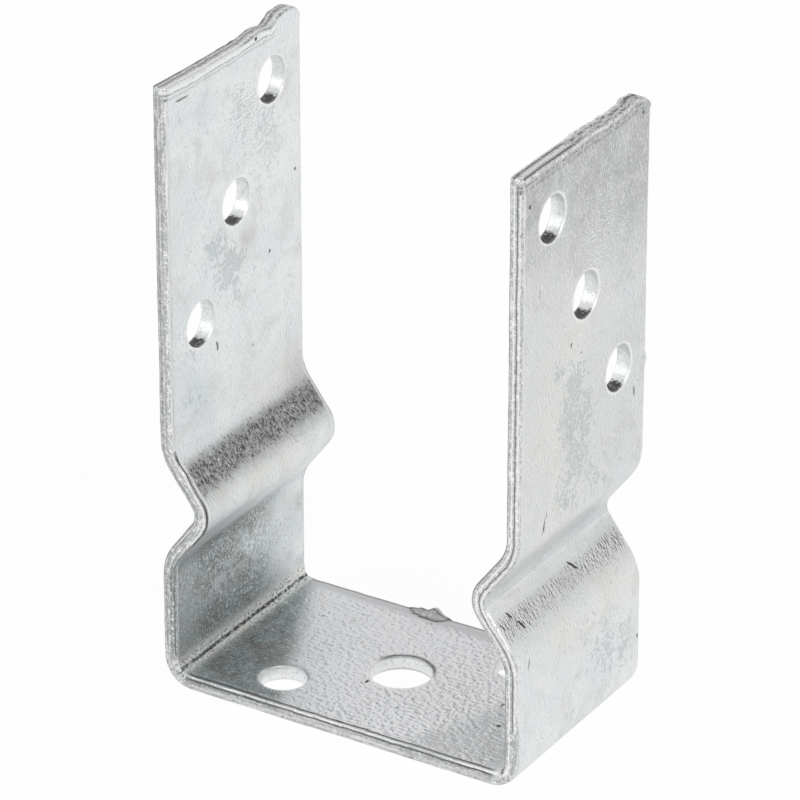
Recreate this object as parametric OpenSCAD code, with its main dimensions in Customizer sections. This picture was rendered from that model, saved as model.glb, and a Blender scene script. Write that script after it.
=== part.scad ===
// U bracket: a post base folded from one flat bar, with a kink low on each arm that the post stands on.
// X runs from arm to arm, Y across the bar, Z up the arms. The origin is under the middle of the base.

/* [Bar] */
// Width of the flat bar
bar_w = 60; // [50:1:80]
// Thickness of the flat bar
bar_t = 4; // [3:0.5:5]
// Radius of the bar's rolled long edges
edge_r = 1.1; // [0.6:0.1:1.4]

/* [Bracket] */
// Clear width between the arms
clear_w = 95; // [80:1:125]
// Overall height
overall_h = 164; // [150:1:200]
// Inside radius of the two bends at the base
bend_r = 4; // [2:0.5:7]

/* [Kink] */
// Height of the kink's corner point above the floor
kink_z = 50; // [44:0.5:58]
// How far the kink's corner point, before rounding, stands in from the arm
kink_in = 11.1; // [8:0.3:13]
// Inside radius of the bend at the kink's tip
kink_tip_r = 4; // [2:0.5:6]
// Inside radius of the bends at the kink's foot and head
kink_end_r = 11; // [3:0.5:12]

/* [Arm holes] */
// Diameter of the holes in the arms
arm_hole_d = 12; // [8:0.5:14]
// Distance from the arm's end to its first hole
arm_hole_drop = 15; // [12:0.5:18]
// Height between one arm hole and the next
arm_hole_pitch = 26.5; // [20:0.5:28]
// Distance of the outer arm holes from the arm's centre line
arm_hole_side = 16.5; // [8:0.5:17]

/* [Base holes] */
// Diameter of the anchor hole in the middle of the base
anchor_hole_d = 16; // [12:0.5:18]
// Diameter of the two side holes in the base
side_hole_d = 12; // [8:0.5:14]
// Distance of the side holes from the middle, along the base
side_hole_x = 23.5; // [18:0.5:27]
// Distance of the side holes from the middle, across the bar
side_hole_y = 18; // [0:0.5:18]

/* [Hidden] */
$fn = 36;
// How far each cutting tool runs past the faces that it cuts
cut_past = 1;
// The kink's slopes stand in three parts for each four up, so that their corner points and lengths
// are whole steps of the grid below, and each stretch of bar ends exactly where a bend starts
slope_share = 3 / 4;
// Grid that the bar's corner points and bends are kept to
grid_step = 0.003;
function on_grid(v) = round(v / grid_step) * grid_step;
// Distance from the middle of the bracket to the middle of an arm's thickness
arm_x = on_grid((clear_w + bar_t) / 2);
// Height from the kink's corner point to the corner points at its foot and head
kink_rise = on_grid(kink_in) / slope_share;
// Corner points of the bar's middle line on the right, from the base to the arm's end, in X and Z
right_corners = [
    [arm_x, on_grid(bar_t / 2)],
    [arm_x, on_grid(kink_z) - kink_rise],
    [arm_x - on_grid(kink_in), on_grid(kink_z)],
    [arm_x, on_grid(kink_z) + kink_rise],
    [arm_x, on_grid(overall_h)]
];
// Inside radius of the bend at each of those corner points, with none at the arm's end
right_radii = [bend_r, kink_end_r, kink_tip_r, kink_end_r, 0];
top = len(right_corners) - 1;
// The whole middle line, from the left arm's end down, along the base and up to the right arm's end
corners = concat(
    [for (i = [top : -1 : 0]) [-right_corners[i][0], right_corners[i][1]]],
    right_corners
);
radii = concat([for (i = [top : -1 : 0]) right_radii[i]], right_radii);

// Direction of the stretch that starts at corner i, in degrees from +X towards +Z
function heading(i) = atan2(corners[i + 1][1] - corners[i][1], corners[i + 1][0] - corners[i][0]);
// Bend at corner i, positive to the left, less than a half turn either way
function bend(i) = let (turn = heading(i) - heading(i - 1))
    turn > 180 ? turn - 360 : turn < -180 ? turn + 360 : turn;
function is_end(i) = i == 0 || i == len(corners) - 1;
// Length that the bend at corner i takes off each stretch that meets there
function bend_reach(i) = is_end(i) ? 0 : on_grid((radii[i] + bar_t / 2) * tan(abs(bend(i)) / 2));

// The bar's section with rolled edges: thickness along X, width along Y, centred
module bar_section() {
    flat_t = bar_t - 2 * edge_r;
    flat_w = bar_w - 2 * edge_r;
    square([bar_t, flat_w], center = true);
    square([flat_t, bar_w], center = true);
    for (sx = [-1, 1], sy = [-1, 1])
        translate([sx * flat_t / 2, sy * flat_w / 2]) circle(r = edge_r);
}

// The straight stretch between corners i and i + 1, in the plane of the middle line
module stretch_from(i) {
    run = norm(corners[i + 1] - corners[i]) - bend_reach(i) - bend_reach(i + 1);
    translate(corners[i]) rotate(heading(i)) translate([bend_reach(i), 0])
        rotate([0, 90, 0]) rotate(90) linear_extrude(run) bar_section();
}

// The bend at corner i: a whole ring of the bar, cut down to the bend by a wedge from its centre
module bend_at(i) {
    side = sign(bend(i));
    middle_r = bend_reach(i) / tan(abs(bend(i)) / 2);
    starts = [0, -side];
    ends = [sin(abs(bend(i))), -side * cos(bend(i))];
    translate(corners[i]) rotate(heading(i - 1)) translate([-bend_reach(i), side * middle_r])
        intersection() {
            rotate_extrude() translate([middle_r, 0]) bar_section();
            linear_extrude(2 * bar_w, center = true)
                polygon(bar_w * [[0, 0], starts, starts + ends, ends]);
        }
}

// The folded bar before punching, stood up with its width along Y
module folded_bar() {
    rotate([90, 0, 0]) {
        for (i = [0 : len(corners) - 2]) stretch_from(i);
        for (i = [1 : len(corners) - 2]) bend_at(i);
    }
}

// Three holes through the right arm, on a diagonal from the front near its end to the rear lower down
module arm_holes() {
    first_z = overall_h - arm_hole_drop;
    for (i = [0 : 2])
        translate([clear_w / 2 - cut_past, (i - 1) * arm_hole_side, first_z - i * arm_hole_pitch])
            rotate([0, 90, 0]) cylinder(d = arm_hole_d, h = bar_t + 2 * cut_past);
}

// A round hole down through the base at x, y
module base_hole(d, x, y) {
    translate([x, y, -cut_past]) cylinder(d = d, h = bar_t + 2 * cut_past);
}

// The finished bracket: its holes repeat under a half turn about Z
module u_bracket() {
    color([0.80, 0.81, 0.81]) difference() {
        folded_bar();
        for (half_turn = [0, 180]) rotate(half_turn) {
            arm_holes();
            base_hole(side_hole_d, side_hole_x, side_hole_y);
        }
        base_hole(anchor_hole_d, 0, 0);
    }
}

u_bracket();
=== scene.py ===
"""Dresses the folded U bracket in its hot-dip zinc coat and sets it on a plain white stage."""

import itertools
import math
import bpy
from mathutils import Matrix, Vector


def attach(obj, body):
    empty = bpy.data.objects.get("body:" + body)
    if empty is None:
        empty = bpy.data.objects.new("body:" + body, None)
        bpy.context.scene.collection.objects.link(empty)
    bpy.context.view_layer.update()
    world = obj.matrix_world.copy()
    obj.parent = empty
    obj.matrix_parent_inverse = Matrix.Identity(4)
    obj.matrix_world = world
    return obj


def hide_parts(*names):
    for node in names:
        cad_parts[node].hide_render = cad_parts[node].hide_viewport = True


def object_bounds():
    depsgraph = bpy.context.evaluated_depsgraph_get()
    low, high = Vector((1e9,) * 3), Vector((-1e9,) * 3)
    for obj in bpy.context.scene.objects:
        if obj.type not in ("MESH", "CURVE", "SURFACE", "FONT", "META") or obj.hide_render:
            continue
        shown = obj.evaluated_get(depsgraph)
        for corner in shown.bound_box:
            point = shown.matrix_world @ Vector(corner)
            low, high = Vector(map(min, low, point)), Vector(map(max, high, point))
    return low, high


bl_info = {
    "name": "Galvanised U Bracket",
    "version": (1, 0, 0),
    "blender": (4, 5, 0),
    "location": "View3D > Sidebar > Bracket",
    "description": "Makes a folded, punched and galvanised U bracket and the stage that shows it",
    "category": "Object",
}

import bmesh
import bpy
import numpy as np
from bpy.props import FloatProperty, FloatVectorProperty, PointerProperty
from mathutils import Vector

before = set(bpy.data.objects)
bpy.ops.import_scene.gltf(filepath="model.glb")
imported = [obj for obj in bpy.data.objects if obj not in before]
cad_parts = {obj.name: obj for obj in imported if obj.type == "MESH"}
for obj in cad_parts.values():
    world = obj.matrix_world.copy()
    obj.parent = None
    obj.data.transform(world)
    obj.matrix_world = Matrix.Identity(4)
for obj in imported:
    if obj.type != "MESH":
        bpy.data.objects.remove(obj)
cad_low, cad_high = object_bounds()
MM = 0.001


def metres(name, description, default, low=0.0):
    """A setting that is a length."""
    return FloatProperty(name=name, description=description, default=default, min=low, unit="LENGTH")


def degrees(name, description, default):
    """A setting that is an angle, with its default in degrees."""
    return FloatProperty(name=name, description=description, default=math.radians(default), unit="ROTATION")


def zinc_colour(name, description, default):
    """A setting that is a colour."""
    return FloatVectorProperty(name=name, description=description, default=default, min=0.0, max=1.0,
                               subtype="COLOR")


def factor(name, description, default):
    """A setting from 0 to 1."""
    return FloatProperty(name=name, description=description, default=default, min=0.0, max=1.0,
                         subtype="FACTOR")


def number(name, description, default, low=0.0):
    """A plain setting with a least value."""
    return FloatProperty(name=name, description=description, default=default, min=low)


class BracketShape(bpy.types.PropertyGroup):
    """Sizes of the folded bar, as the CAD solid has them."""
    bar_width: metres("Bar Width", "Width of the flat bar", cad_high.y - cad_low.y, 0.02)
    bar_thickness: metres("Bar Thickness", "Thickness of the flat bar", 0.004, 0.001)
    outer_width: metres("Outer Width", "Width over both arms", cad_high.x - cad_low.x, 0.03)
    height: metres("Height", "Height of the arms' ends above the floor", cad_high.z - cad_low.z, 0.05)
    edge_radius: metres("Edge Radius", "Radius of the bar's rolled long edges", 0.0011, 0.0002)
    end_radius: metres("End Radius", "Rounding that the zinc gives the sheared ends", 0.0006, 0.0001)
    base_bend: metres("Base Bend", "Inside radius of the two bends at the base", 0.004, 0.0005)
    kink_height: metres("Kink Height", "Height of the kink's corner point", 0.050, 0.01)
    kink_depth: metres("Kink Depth", "How far the kink's corner point stands in from the arm", 0.0111, 0.001)
    kink_end_bend: metres("Kink End Bend", "Inside radius of the bends at the kink's foot and head",
                          0.011, 0.001)
    kink_tip_bend: metres("Kink Tip Bend", "Inside radius of the bend at the kink's tip", 0.004, 0.001)
    arm_hole: metres("Arm Hole", "Diameter of the holes in the arms", 0.012, 0.002)
    arm_hole_drop: metres("Arm Hole Drop", "Distance from an arm's end to its first hole", 0.015, 0.002)
    arm_hole_pitch: metres("Arm Hole Pitch", "Height between one arm hole and the next", 0.0265, 0.005)
    arm_hole_side: metres("Arm Hole Side", "Distance of the outer arm holes from the middle", 0.0165)
    anchor_hole: metres("Anchor Hole", "Diameter of the hole in the middle of the base", 0.016, 0.002)
    side_hole: metres("Side Hole", "Diameter of the two side holes in the base", 0.012, 0.002)
    side_hole_along: metres("Side Hole Along", "How far a side hole lies along the bar", 0.0235)
    side_hole_across: metres("Side Hole Across", "How far a side hole lies across the bar", 0.018)


class ZincFinish(bpy.types.PropertyGroup):
    """Colours and grain of the zinc coat."""
    pale: zinc_colour("Pale Zinc", "Colour of the bright, even coat", (0.88, 0.89, 0.895))
    cool: zinc_colour("Cool Zinc", "Colour of the bluish clouds", (0.80, 0.835, 0.85))
    warm: zinc_colour("Warm Zinc", "Colour of the warm clouds", (0.86, 0.855, 0.83))
    dull: zinc_colour("Dull Zinc", "Colour of the dull patches", (0.44, 0.49, 0.50))
    dark: zinc_colour("Dark Zinc", "Colour of cracks, pits and scuffs", (0.055, 0.055, 0.055))
    base: zinc_colour("Base Zinc", "Colour of the coat on top of the base", (0.89, 0.89, 0.915))
    edge: zinc_colour("Edge Zinc", "Colour of the rolled edges and the sheared ends", (0.54, 0.55, 0.535))
    # The colour of the painted shade in the inside corners
    bloom: zinc_colour("Corner Shade", "Colour of the bloom in the inside corners", (0.24, 0.30, 0.305))
    # Greyer tone towards the arm ends on the outside
    outer_grey_tone: zinc_colour("Outer Grey Zinc", "Colour of the greyer coat outside, up the arms",
                           (0.44, 0.445, 0.435))
    roughness: factor("Roughness", "Roughness of the even coat", 0.42)
    metallic: factor("Metallic", "How metallic the coat looks", 0.8)


class StageSetup(bpy.types.PropertyGroup):
    """Where the camera stands and how bright the soft lamps are."""
    camera_distance: metres("Camera Distance", "Distance from the camera to its aim point", 1.3399, 0.2)
    camera_azimuth: degrees("Camera Azimuth", "Turn of the camera round the bracket from the front", 31.686)
    camera_elevation: degrees("Camera Elevation", "Height of the camera as an angle", 27.09)
    camera_aim: FloatVectorProperty(
        name="Camera Aim", description="Point at the middle of the picture",
        default=(0.0, -0.0006, 0.0809), unit="LENGTH")
    lens: number("Lens", "Focal length in millimetres on a 36 mm wide sensor", 246.55, 20.0)
    key_power: number("Key Power", "Power of the soft key lamp in watts", 14.0)
    fill_power: number("Fill Power", "Power of the soft fill lamp in watts", 6.0)
    sky_strength: number("Sky Strength", "Strength of the even light from all round", 0.55)


def kink_angle():
    """Slope of the kink's flanks away from the arm: three in for each four up."""
    return math.atan2(3.0, 4.0)


def run_on(heading, curve, run):
    """How far a run goes in X and in Z, and the heading at its end.

    A straight run moves on along its heading. On an arc the heading grows by curvature times length, and
    the place moves by the difference of its sine and cosine over the curvature.
    """
    turned = heading + curve * run
    bent = curve != 0.0
    safe = np.where(bent, curve, 1.0)
    step_x = np.where(bent, (np.sin(turned) - np.sin(heading)) / safe, run * np.cos(heading))
    step_z = np.where(bent, (np.cos(heading) - np.cos(turned)) / safe, run * np.sin(heading))
    return step_x, step_z, turned


def columns(*parts):
    """Stacks arrays and single numbers as columns."""
    return np.column_stack(np.broadcast_arrays(*parts))


class Bar:
    """The bar's middle line on the right, from the middle of the base to the arm's end, in mm.

    It is a list of runs, straight ones and arcs, each with its length and its curvature, which is one
    over the radius and positive to the left. Sheet coordinates are s along the line, negative on the
    left, w across the bar towards the back, and n through the thickness towards the inside.
    """

    def __init__(self, shape):
        self.width = shape.bar_width / MM
        self.thick = shape.bar_thickness / MM
        self.edge = shape.edge_radius / MM
        self.end = shape.end_radius / MM
        half = self.thick / 2
        slope = kink_angle()
        foot = shape.kink_end_bend / MM + half
        tip = shape.kink_tip_bend / MM + half
        base = shape.base_bend / MM + half
        rise = shape.kink_depth / MM * 4 / 3
        foot_reach = foot * math.tan(slope / 2)
        tip_reach = tip * math.tan(slope)
        flank = math.hypot(shape.kink_depth / MM, rise) - foot_reach - tip_reach
        foot_height = shape.kink_height / MM - rise
        head_height = shape.kink_height / MM + rise
        self.runs = [
            ("base", shape.outer_width / MM / 2 - half - base, 0.0),
            ("base_bend", base * math.pi / 2, 1 / base),
            ("lower_arm", foot_height - foot_reach - half - base, 0.0),
            ("kink_foot", foot * slope, 1 / foot),
            ("lower_flank", flank, 0.0),
            ("kink_tip", tip * slope * 2, -1 / tip),
            ("upper_flank", flank, 0.0),
            ("kink_head", foot * slope, 1 / foot),
            ("upper_arm", shape.height / MM - head_height - foot_reach, 0.0),
        ]
        self.starts = {}
        along, x, z, heading = 0.0, 0.0, half, 0.0
        table = []
        for name, length, curve in self.runs:
            self.starts[name] = along
            table.append((along, x, z, heading, curve))
            step_x, step_z, heading = run_on(heading, curve, length)
            along, x, z = along + length, x + step_x, z + step_z
        self.half_length = along
        self.table = np.array(table)

    def span(self, name):
        """Where a run starts and ends along the bar."""
        length = next(run[1] for run in self.runs if run[0] == name)
        return self.starts[name], self.starts[name] + length

    def height_to_s(self, height):
        """Distance along the bar to a point of the upper arm at this height."""
        return self.half_length - (self.top - height)

    @property
    def top(self):
        """Height of the arm's end."""
        along, _, z, _, _ = self.table[-1]
        return z + self.half_length - along

    def to_space(self, sheet):
        """Folds sheet coordinates into X, Y and Z: s goes along the middle line, the thickness along its
        left-hand normal, and the left arm is the right one mirrored."""
        s = np.abs(sheet[:, 0])
        index = np.searchsorted(self.table[:, 0], s, side="right") - 1
        start, x, z, heading, curve = self.table[np.clip(index, 0, None)].T
        step_x, step_z, turned = run_on(heading, curve, s - start)
        x = x + step_x - sheet[:, 2] * np.sin(turned)
        z = z + step_z + sheet[:, 2] * np.cos(turned)
        side = np.where(sheet[:, 0] < 0.0, -1.0, 1.0)
        return np.column_stack((x * side, sheet[:, 1], z))


def hole_table(bar, shape):
    """Every punched hole as s, w and radius, each repeated under a half turn."""
    holes = [(0.0, 0.0, shape.anchor_hole / MM / 2)]
    for turn in (-1, 1):
        holes.append((turn * shape.side_hole_along / MM, turn * shape.side_hole_across / MM,
                      shape.side_hole / MM / 2))
        for place in range(3):
            along = bar.half_length - (shape.arm_hole_drop + place * shape.arm_hole_pitch) / MM
            across = (place - 1) * shape.arm_hole_side / MM
            holes.append((turn * along, turn * across, shape.arm_hole / MM / 2))
    return holes


def lattice_noise(points, seed):
    """Smooth noise from -1 to 1: random values on a lattice, blended by a smooth step along each axis."""
    period = 64
    table = np.random.default_rng(seed).uniform(-1.0, 1.0, (period,) * 3)
    cell = np.floor(points).astype(int)
    part = points - cell
    part = part * part * (3.0 - 2.0 * part)
    total = np.zeros(len(points))
    for corner in itertools.product((0, 1), repeat=3):
        at = (cell + corner) % period
        weight = np.prod(np.where(corner, part, 1.0 - part), axis=1)
        total += table[at[:, 0], at[:, 1], at[:, 2]] * weight
    return total


def smooth(value, low, high):
    """Smooth step from 0 at low to 1 at high."""
    part = np.clip((value - low) / (high - low), 0.0, 1.0)
    return part * part * (3.0 - 2.0 * part)


def bell(value, middle, width):
    """Bell curve of height 1."""
    return np.exp(-((value - middle) / width) ** 2)


def blob(sheet, at_s, at_w, half_s, half_w):
    """Soft oval of height 1 on the sheet."""
    return np.exp(-((sheet[:, 0] - at_s) / half_s) ** 2 - ((sheet[:, 1] - at_w) / half_w) ** 2)


def plateau(value, low, rise_to, fall_from, high):
    """One between rise_to and fall_from, with smooth steps down to zero at low and high."""
    return smooth(value, low, rise_to) * (1.0 - smooth(value, fall_from, high))


# Fineness of the mesh: lines across each face, steps round an edge, down a side and round an end, rows in
# a hole's sleeve, and the rows' spacing on straight runs, in bends and over the last stretch of the arms, mm
ACROSS_LINES = 73
ARC_STEPS = 5
EDGE_STEPS = 3
END_STEPS = 4
FUNNEL_ROWS = 8
MOUTH_STEPS = 3
WALL_STEPS = 6
ROW_STEP = 1.08
BEND_ROW_STEP = 0.7
FINE_ROW_STEP = 0.5
FINE_END = 7.0
# Between these places along the bar the rows are twice as close, for the drip
DRIP_FROM = -17.0
DRIP_TO = -1.0
# Distance from a hole to the border of its sleeve, and the radius that the zinc gives its mouth, mm
SLEEVE_MARGIN = 3.0
MOUTH_RADIUS = 0.35


def section_loop(bar):
    """The bar's section as a closed loop: core points with a direction that the edge radius is laid along.

    It runs along the inner face, round the back edge, along the outer face and round the front edge.
    """
    core_w = bar.width / 2 - bar.edge
    core_n = bar.thick / 2 - bar.edge
    lines = np.linspace(-core_w, core_w, ACROSS_LINES)
    side = np.linspace(core_n, -core_n, EDGE_STEPS + 1)
    angles = np.linspace(0.0, np.pi / 2, ARC_STEPS + 1)[1:-1]
    sine, cosine = np.sin(angles), np.cos(angles)
    half = np.concatenate((
        columns(lines, core_n, 0.0, 1.0),
        columns(core_w, core_n, sine, cosine),
        columns(core_w, side, 1.0, 0.0),
        columns(core_w, -core_n, cosine, -sine),
    ))
    loop = np.concatenate((half, -half))
    return loop[:, :2], loop[:, 2:]


def row_places(bar):
    """Places of the rows along the bar, with fine rows at the ends, in the bends and under the drip."""
    rows = []
    for name, length, curve in bar.runs:
        start, stop = bar.span(name)
        if name == "upper_arm":
            stop -= bar.end
            fine_from = stop - FINE_END
            rows.append(np.linspace(start, fine_from, round((fine_from - start) / ROW_STEP), False))
            rows.append(np.linspace(fine_from, stop, round(FINE_END / FINE_ROW_STEP) + 1))
            continue
        step = BEND_ROW_STEP if curve else ROW_STEP
        rows.append(np.linspace(start, stop, max(2, round(length / step)), False))
    half = np.concatenate(rows)
    both = np.concatenate((-half[:0:-1], half))
    drip = (both > DRIP_FROM) & (both < DRIP_TO)
    extra = both[drip] + ROW_STEP / 2
    return np.sort(np.concatenate((both, extra)))


def grid_quads(index, closed=False):
    """The quads of a grid of point numbers, which may close round its columns."""
    if closed:
        index = np.concatenate((index, index[:, :1]), axis=1)
    corners = index[:-1, :-1], index[:-1, 1:], index[1:, 1:], index[1:, :-1]
    return np.stack(corners, axis=-1).reshape(-1, 4)


class Skin:
    """Collects points in sheet coordinates, their outward normals and their quads."""

    def __init__(self):
        self.points, self.normals, self.quads = [], [], []
        self.count = 0

    def add(self, points, normals):
        """Adds a grid of points and returns the grid of their numbers."""
        shape = points.shape[:-1]
        index = self.count + np.arange(np.prod(shape)).reshape(shape)
        self.points.append(points.reshape(-1, 3))
        self.normals.append(np.broadcast_to(normals, points.shape).reshape(-1, 3))
        self.count += index.size
        return index

    def arrays(self):
        """All the points, normals and quads as three arrays."""
        return np.concatenate(self.points), np.concatenate(self.normals), np.concatenate(self.quads)


def bar_rows(bar, core, away):
    """The grid of the whole bar: a row of the section at each place, with rounded rows at both ends."""
    places = row_places(bar)
    turn = np.linspace(0.0, np.pi / 2, END_STEPS + 1)[1:]
    reach = bar.half_length - bar.end + bar.end * np.sin(turn)
    s = np.concatenate((-reach[::-1], places, reach))
    shrink = bar.end * (1.0 - np.cos(turn))
    shrink = np.concatenate((shrink[::-1], np.zeros(len(places)), shrink))
    tilt = np.concatenate((-turn[::-1], np.zeros(len(places)), turn))
    radius = (bar.edge - shrink)[:, None, None]
    across = core[None] + radius * away[None]
    points = np.dstack((np.broadcast_to(s[:, None], across.shape[:2]), across))
    along = np.broadcast_to(np.sin(tilt)[:, None, None], across.shape[:2] + (1,))
    normals = np.concatenate((along, np.cos(tilt)[:, None, None] * away[None]), axis=2)
    return s, points, normals


def add_end_caps(bar, skin, core, away):
    """Closes both ends: rings that shrink to the core, then a grid between the core's two long sides."""
    shares = np.linspace(1.0, 0.0, 3)
    for side in (-1.0, 1.0):
        radius = (bar.edge - bar.end) * shares[:, None, None]
        across = core[None] + radius * away[None]
        s = np.full(across.shape[:2], side * bar.half_length)
        index = skin.add(np.dstack((s, across)), (side, 0.0, 0.0))
        skin.quads.append(grid_quads(index, closed=True))
        lines = np.linspace(core[0, 0], core[ACROSS_LINES - 1, 0], ACROSS_LINES)
        levels = np.linspace(core[0, 1], -core[0, 1], EDGE_STEPS + 1)
        grid_w, grid_n = np.meshgrid(lines, levels)
        s = np.full(grid_w.shape, side * bar.half_length)
        index = skin.add(np.dstack((s, grid_w, grid_n)), (side, 0.0, 0.0))
        skin.quads.append(grid_quads(index))


def add_hole(bar, skin, s_rows, lines, hole):
    """The sleeve of one hole: rings from the square block's border on the inner face to the circle, round
    the mouth, down the wall and back out to the border on the outer face. Returns the block's limits."""
    at_s, at_w, radius = hole
    mouth = MOUTH_RADIUS
    reach = radius + SLEEVE_MARGIN
    first, last = (int(np.argmin(np.abs(s_rows - place))) for place in (at_s - reach, at_s + reach))
    left, right = (int(np.argmin(np.abs(lines - place))) for place in (at_w - reach, at_w + reach))
    s_side, w_side = s_rows[first:last + 1], lines[left:right + 1]
    border = np.concatenate((
        columns(s_side[0], w_side[:-1]), columns(s_side[:-1], w_side[-1]),
        columns(s_side[-1], w_side[:0:-1]), columns(s_side[:0:-1], w_side[0]),
    ))
    outward = border - (at_s, at_w)
    ray = outward / np.linalg.norm(outward, axis=1, keepdims=True)
    half = bar.thick / 2
    profile = []
    for share in np.linspace(0.0, 1.0, FUNNEL_ROWS):
        profile.append((outward * (1 - share) + ray * (radius + mouth) * share, half, 0.0, 1.0))
    for turn in np.linspace(0.0, np.pi / 2, MOUTH_STEPS + 1)[1:]:
        out = radius + mouth * (1 - math.sin(turn))
        profile.append((ray * out, half - mouth * (1 - math.cos(turn)), -math.sin(turn), math.cos(turn)))
    for level in np.linspace(half - mouth, mouth - half, WALL_STEPS + 1)[1:-1]:
        profile.append((ray * radius, level, -1.0, 0.0))
    upper = [row for row in profile if row[1] > half - mouth - 1e-9]
    profile += [(offset, -level, inward, -up) for offset, level, inward, up in upper[::-1]]
    points = np.array([columns(*(offset + (at_s, at_w)).T, level) for offset, level, _, _ in profile])
    normals = np.array([columns(*(ray * inward).T, up) for _, _, inward, up in profile])
    skin.quads.append(grid_quads(skin.add(points, normals), closed=True))
    return first, last, left, right


def bracket_skin(bar, shape):
    """The whole skin in sheet coordinates, with a sleeve in place of the two blocks round each hole."""
    core, away = section_loop(bar)
    s_rows, points, normals = bar_rows(bar, core, away)
    skin = Skin()
    index = skin.add(points, normals)
    keep = np.ones((len(s_rows) - 1, len(core)), bool)
    lines = core[:ACROSS_LINES, 0]
    outer_start = len(core) // 2
    for hole in hole_table(bar, shape):
        first, last, left, right = add_hole(bar, skin, s_rows, lines, hole)
        keep[first:last, left:right] = False
        outer = outer_start + ACROSS_LINES - 1
        keep[first:last, outer - right:outer - left] = False
    skin.quads.append(grid_quads(index, closed=True)[keep.reshape(-1)])
    add_end_caps(bar, skin, core, away)
    return skin.arrays()


# Shape of the left and right arm's sheared end: distance across the bar and height over the true edge, mm
LEFT_END = ((-30, -0.15), (-26, -0.3), (-14, -0.8), (6, -1.0), (8.5, -0.6), (12, -0.3), (15, -0.8),
            (16.5, -1.3), (18.3, -0.4), (20.5, 0.8), (24, 1.1), (26.8, 0.7), (28.8, -0.7), (30, -2.3))
RIGHT_END = ((-30, -0.25), (-28, 0), (-5, 0), (-2, 0.3), (4, 0.2), (9, -0.3), (10, 0.35), (11.5, -0.3),
             (19, -0.1), (20.3, 0.9), (22.5, 0.75), (24, 0.3), (25, 0.5), (27, -0.5), (28.6, -1.7),
             (30, -3.2))
# Where that shape starts and is full, as distances from the end, mm
END_FADE = (6.0, 0.4)


def end_shift(bar, sheet):
    """How far the sheared ends' lumps and rounded back corners move a point along the bar."""
    s, w = sheet[:, 0], sheet[:, 1]
    fade = smooth(np.abs(s), *(bar.half_length - part for part in END_FADE))
    left = np.interp(w, *np.transpose(LEFT_END))
    right = np.interp(w, *np.transpose(RIGHT_END))
    return np.where(s < 0.0, -left, right) * fade


# The drip over the base's back edge: its middle and half sizes along and across the bar, its lean, its
# thickness and how ragged it is; then the place, half sizes and height of its peak. All in mm.
DRIP_AT = (-8.7, 30.4)
DRIP_HALF = (6.3, 4.6)
DRIP_LEAN = 0.35
DRIP_LEAN_FROM = 27.0
DRIP_THICK = 0.8
DRIP_LUMPS = 0.35
PEAK_AT = (-7.8, 29.6)
PEAK_HALF = (1.7, 1.8)
PEAK_HEIGHT = 1.3
# Depths and heights of the rest of the coat's relief, mm
WAVE_DEPTH = 0.05
RIPPLE_DEPTH = 0.02
BEAD_FRONT = 0.06
BEAD_REAR = 0.42
LIP_HEIGHT = 0.16
EDGE_LUMPS = 0.07
FOLD_DEPTH = 0.55
# The bulge on the back edges: its height above the floor, half sizes and height
BULGE_HEIGHT = 93.0
BULGE_HALF = (1.6, 1.5)
BULGE_DEPTH = 0.5


def drip_shape(sheet):
    """The flat drip that lies over the base's back edge: a ragged oval dome, steep at its rim."""
    s, w, n = sheet.T
    along = (s - DRIP_AT[0] + DRIP_LEAN * (w - DRIP_LEAN_FROM)) / DRIP_HALF[0]
    across = (w - DRIP_AT[1]) / DRIP_HALF[1]
    reach = 1.0 - along ** 2 - across ** 2 - 0.22 * lattice_noise(sheet / 2.2, 5)
    return np.clip(reach, 0.0, 1.0) ** 0.4 * smooth(n, -1.0, 1.6)


def zinc_relief(bar, sheet):
    """Thickness that the coat adds: slow waves, beads along the ends, the lip, the drip and the folds."""
    s, w, n = sheet.T
    far = np.abs(s)
    relief = WAVE_DEPTH * lattice_noise(sheet / 14.0, 1) + RIPPLE_DEPTH * lattice_noise(sheet / 4.0, 2)
    near_end = smooth(far, bar.half_length - 2.6, bar.half_length - 0.8)
    rear = smooth(w, -12.0, 14.0)
    beads = np.abs(lattice_noise(sheet / (2.6, 2.1, 2.6), 3))
    relief += near_end * (BEAD_FRONT + BEAD_REAR * rear) * (beads - 0.25)
    lip = bell(far, bar.half_length - 2.1, 0.55) * smooth(-w, -6.0, 2.0)
    relief += LIP_HEIGHT * lip * (n > 0.0) * (s < 0.0)
    edge = smooth(np.abs(w), bar.width / 2 - 1.6, bar.width / 2 - 0.2)
    relief += edge * EDGE_LUMPS * lattice_noise(sheet / (2.4, 3.0, 3.0), 4)
    start, stop = bar.span("base_bend")
    bend = np.clip((far - start) / (stop - start), 0.0, 1.0)
    relief -= FOLD_DEPTH * np.sin(np.pi * bend) ** 4 * smooth(n, 0.6, 1.6)
    peak = PEAK_HEIGHT * blob(sheet, *PEAK_AT, *PEAK_HALF)
    relief += drip_shape(sheet) * (DRIP_THICK + peak + DRIP_LUMPS * lattice_noise(sheet / 1.7, 6))
    return relief + BULGE_DEPTH * blob(sheet, bar.height_to_s(BULGE_HEIGHT), bar.width / 2, *BULGE_HALF)


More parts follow.
